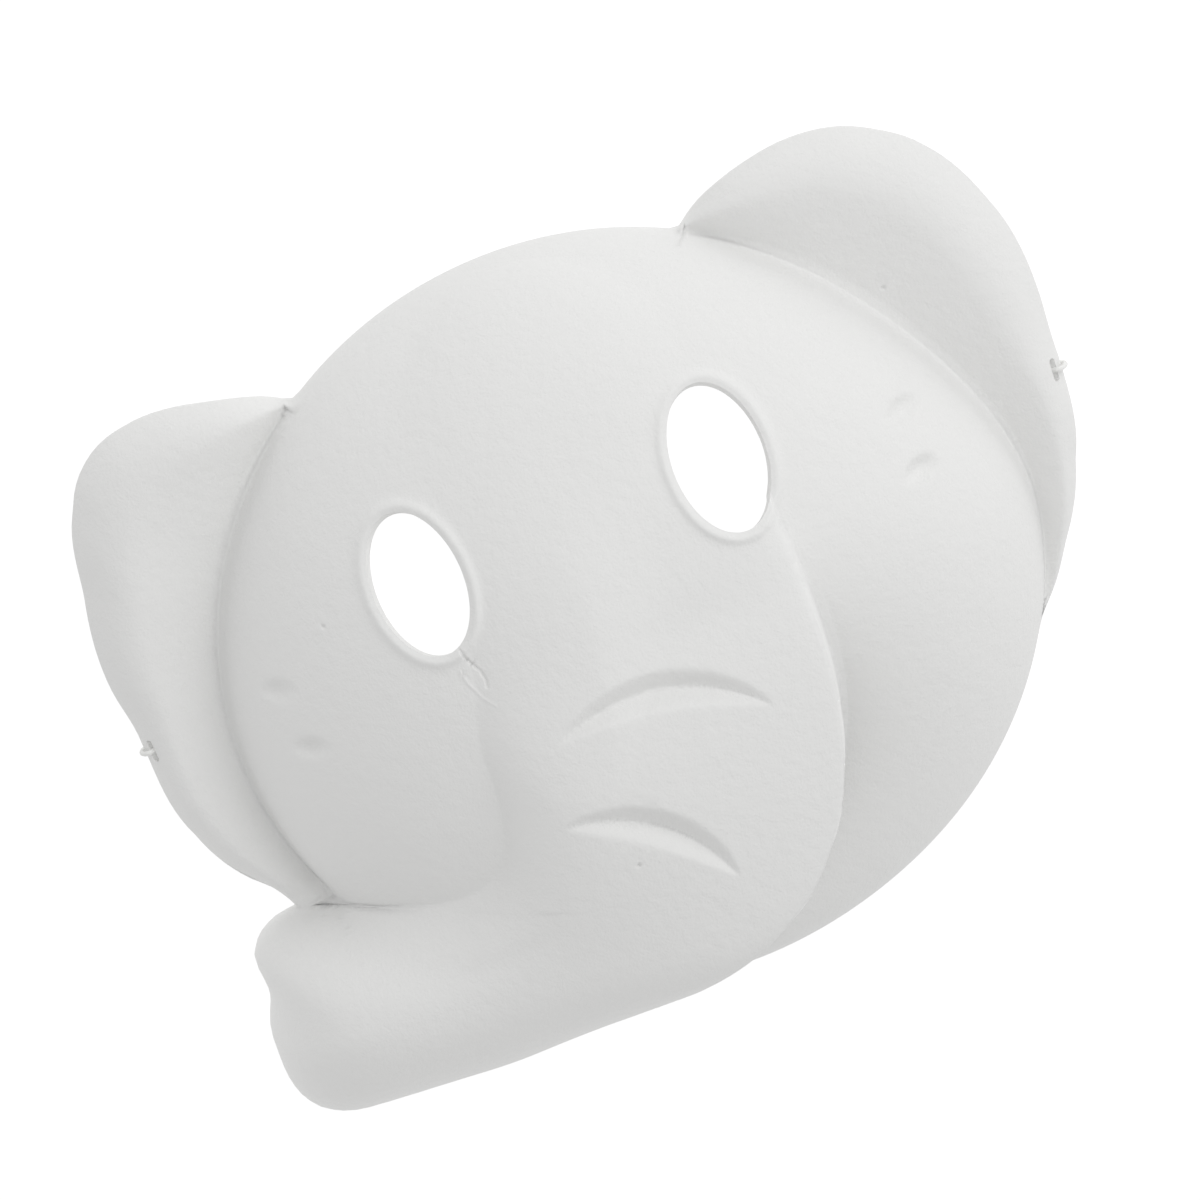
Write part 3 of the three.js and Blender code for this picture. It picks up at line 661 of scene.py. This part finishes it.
# Unpainted moulded paper pulp: a dry, matt white that scatters light evenly and shows a fine felted grain
def moulded_pulp():
    material, tree = new_material("moulded_white_pulp")
    place = add_node(tree, "TexCoord").outputs["Object"]
    normal = add_node(tree, "NewGeometry").outputs["Normal"]
    for size, height in PULP_GRAIN:
        noise = add_node(tree, "TexNoise", Vector=place, Scale=1 / (size * MM), Detail=1.0)
        bump = add_node(
            tree, "Bump", Height=noise.outputs[0], Normal=normal, Strength=1.0, Distance=height * MM
        )
        normal = bump.outputs[0]
    shader = add_node(tree, "BsdfPrincipled", Base_Color=colour("#ECECEB"), Roughness=0.95, Normal=normal)
    shader.inputs["Specular IOR Level"].default_value = 0.2
    close_material(tree, shader)
    return material


# Thin covered elastic: a soft white thread with a slight sheen
def white_elastic():
    material, tree = new_material("white_covered_elastic")
    shader = add_node(tree, "BsdfPrincipled", Base_Color=colour("#F0F0EE"), Roughness=0.75)
    close_material(tree, shader)
    return material


# Pale studio floor, bright enough to burn out to white behind the mask
def studio_floor():
    material, tree = new_material("white_studio_floor")
    shader = add_node(tree, "BsdfPrincipled", Base_Color=colour("#898989"), Roughness=1.0)
    shader.inputs["Emission Color"].default_value = colour("#FFFFFF")
    shader.inputs["Emission Strength"].default_value = 0.85
    close_material(tree, shader)
    return material


PULP = moulded_pulp()
ELASTIC = white_elastic()


def grow_loop(bm, loop):
    """Grows a strip of faces from a loop of free edges, and returns the new loop with its vertices."""
    made = bmesh.ops.extrude_edge_only(bm, edges=loop)["geom"]
    verts = [g for g in made if isinstance(g, bmesh.types.BMVert)]
    edges = [g for g in made if isinstance(g, bmesh.types.BMEdge) and g.is_boundary]
    mark = bm.edges.layers.int["loop"]
    for old in loop:
        old[mark] = 0
    return edges, verts


def grow_rim(bm, loop):
    """Lip round the moulding, with its two edges rounded, from the outer face to the inner one."""
    turns = [(1 - math.cos(a), 1 - math.sin(a)) for a in (0, math.pi / 4, math.pi / 2)]
    rounded = [(RIM_ROUND * inset, RIM_ROUND * z) for inset, z in turns]
    profile = rounded + [(WALL - inset, z) for inset, z in reversed(rounded)]
    steps = np.diff([(0, RIM_LIP), *profile], axis=0)
    for inset, rise in steps:
        loop, verts = grow_loop(bm, loop)
        x, y, z = places(verts)
        move_to(verts, *set_in_rim(x, y, inset), z + rise)
    return loop


def grow_hole(bm, loop, gap, ring, nudge):
    """Wall of a hole, square through the moulding with crisp edges, and a ring round it inside."""
    inside, verts = grow_loop(bm, loop)
    move_to(verts, *set_in(*places(verts), WALL, nudge))
    for e in [*loop, *inside]:
        e.smooth = False
    around, verts = grow_loop(bm, inside)
    x, y, z = places(verts)
    across, up = slope_of(gap, x, y, EDGE_NUDGE)
    step_x, step_y = ring * np.array([across, up]) / np.hypot(across, up)
    across, up = slope_of(face, x, y, nudge)
    move_to(verts, x + step_x, y + step_y, z + across * step_x + up * step_y)
    return around


# The moulding: outer and inner faces joined round the rim and round every hole
def mask_shell():
    bm = sheet_on_face(OUTER_MESH, 0)
    mark = bm.edges.layers.int["loop"]
    numbers = range(1, len(HOLES) + 2)
    for number in numbers:
        loop = [e for e in bm.edges if e[mark] == number]
        loop = grow_rim(bm, loop) if number == 1 else grow_hole(bm, loop, *HOLES[number - 2])
        for e in loop:
            e[mark] = number
    inner = sheet_on_face(INNER_MESH, WALL)
    bmesh.ops.reverse_faces(inner, faces=inner.faces)
    spare = bpy.data.meshes.new("inner_face")
    inner.to_mesh(spare)
    inner.free()
    bm.from_mesh(spare)
    bpy.data.meshes.remove(spare)
    mark = bm.edges.layers.int["loop"]
    for number in numbers:
        loops = [e for e in bm.edges if e[mark] == number]
        if number == 1:
            bmesh.ops.bridge_loops(bm, edges=loops)
        else:
            bmesh.ops.triangle_fill(bm, use_beauty=True, edges=loops)
    bmesh.ops.recalc_face_normals(bm, faces=bm.faces)
    for f in bm.faces:
        f.smooth = True
    return bm


def finish_piece(bm, name, material):
    bmesh.ops.transform(bm, matrix=TO_FRAME, verts=bm.verts)
    data = bpy.data.meshes.new(name)
    bm.to_mesh(data)
    bm.free()
    return object_of(name, data, material)


shell_mesh = mask_shell()
low, high = places(shell_mesh.verts).min(1), places(shell_mesh.verts).max(1)
cad_shell_low, cad_shell_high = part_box("mask_shell")
SHIFT = (cad_shell_low + cad_shell_high) / 2 - Vector((low + high) / 2 * MM)
SHIFT.z = 0
TO_FRAME = Matrix.Translation(SHIFT) @ Matrix.Scale(MM, 4)
shell = finish_piece(shell_mesh, "pulp_shell", PULP)
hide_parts("mask_shell")
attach(shell, "root")


def in_from(sign, inset, z):
    edge, out = slit_place(sign)
    x, y = edge - inset * out
    return Vector((x, y, z))


def elastic_curve(name, routes, diameter):
    """A round elastic along routes of points in the face's own millimetres."""
    data = bpy.data.curves.new(name, "CURVE")
    data.dimensions = "3D"
    data.bevel_depth = diameter / 2 * MM
    data.bevel_resolution = ELASTIC_MESH["round"]
    data.use_fill_caps = True
    for route in routes:
        spline = data.splines.new("BEZIER")
        spline.bezier_points.add(len(route) - 1)
        spline.resolution_u = ELASTIC_MESH["along"]
        for point, place in zip(spline.bezier_points, route):
            point.co = TO_FRAME @ Vector(place)
            point.handle_left_type = point.handle_right_type = "AUTO"
    return object_of(name, data, ELASTIC)


ties = {}
for sign, side in ((LEFT, "left"), (RIGHT, "right")):
    loop = [in_from(sign, inset, z) for inset, z in TIE_ROUTE]
    knot = in_from(sign, KNOT["inset"], KNOT["z"])
    turns = np.linspace(0, 2 * math.pi, KNOT["steps"] + 1)
    knot_route = [
        knot + KNOT["twist"] * Vector((
            math.sin(t) + 2 * math.sin(2 * t),
            math.cos(t) - 2 * math.cos(2 * t),
            -KNOT["height"] * math.sin(3 * t),
        ))
        for t in turns
    ]
    ties[side] = elastic_curve(side + "_elastic_tie", [loop, knot_route], CORD_DIAMETER)
    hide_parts(side + "_tie")
    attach(ties[side], "root")


def leave_knot(sign, towards):
    knot = in_from(sign, KNOT["inset"], KNOT["z"])
    return knot + (Vector(towards) - knot).normalized() * (KNOT["radius"] + KNOT["gap"])


cord_route = [leave_knot(LEFT, CORD_ROUTE[0]), *CORD_ROUTE, leave_knot(RIGHT, CORD_ROUTE[-1])]
cord = elastic_curve("white_elastic_cord", [cord_route], CORD_DIAMETER)
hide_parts("elastic_cord")
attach(cord, "root")

# Floor, camera and light
bm = bmesh.new()
bmesh.ops.create_grid(bm, x_segments=1, y_segments=1, size=FLOOR["half_width"])
floor_data = bpy.data.meshes.new("floor")
bm.to_mesh(floor_data)
bm.free()
floor = object_of("floor", floor_data, studio_floor())
floor.location.z = -FLOOR["drop"]
floor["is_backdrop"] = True

up, right, roll = (math.radians(CAMERA[key]) for key in ("up", "right", "roll"))
back = Vector((math.sin(right) * math.cos(up), math.sin(up), math.cos(right) * math.cos(up)))
level = Vector((0, 1, 0)).cross(back).normalized()
rise = back.cross(level)
across = math.cos(roll) * level - math.sin(roll) * rise
upward = math.cos(roll) * rise + math.sin(roll) * level
aim = TO_FRAME @ Vector(CAMERA["aim"])
eye = aim + back * CAMERA["distance"] * MM
aim += (across * AIM_SHIFT[0] + upward * AIM_SHIFT[1]) * MM
back = (eye - aim).normalized()
across = upward.cross(back).normalized()
upward = back.cross(across)
camera_data = bpy.data.cameras.new("camera")
camera_data.sensor_width = LENS["sensor"]
camera_data.lens = LENS["focal_length"]
camera = bpy.data.objects.new("camera", camera_data)
camera.matrix_world = Matrix((across, upward, back)).transposed().to_4x4()
camera.location = eye
bpy.context.scene.collection.objects.link(camera)
bpy.context.scene.camera = camera

world = bpy.data.worlds.new("studio")
world.use_nodes = True
world.node_tree.nodes["Background"].inputs["Color"].default_value = colour("#FFFFFF")
world.node_tree.nodes["Background"].inputs["Strength"].default_value = WORLD_LIGHT
bpy.context.scene.world = world
bpy.context.scene.view_settings.view_transform = "Standard"


def softbox(name, size, energy, way, distance):
    """A square light that faces the mask from a way given as right, up and towards the camera."""
    data = bpy.data.lights.new(name, "AREA")
    data.size = size
    data.energy = energy
    light = bpy.data.objects.new(name, data)
    direction = (way[0] * across + way[1] * upward + way[2] * back).normalized()
    light.matrix_world = direction.to_track_quat("Z", "Y").to_matrix().to_4x4()
    light.location = aim + direction * distance
    bpy.context.scene.collection.objects.link(light)


for row in SOFTBOXES:
    softbox(*row)

low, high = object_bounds()
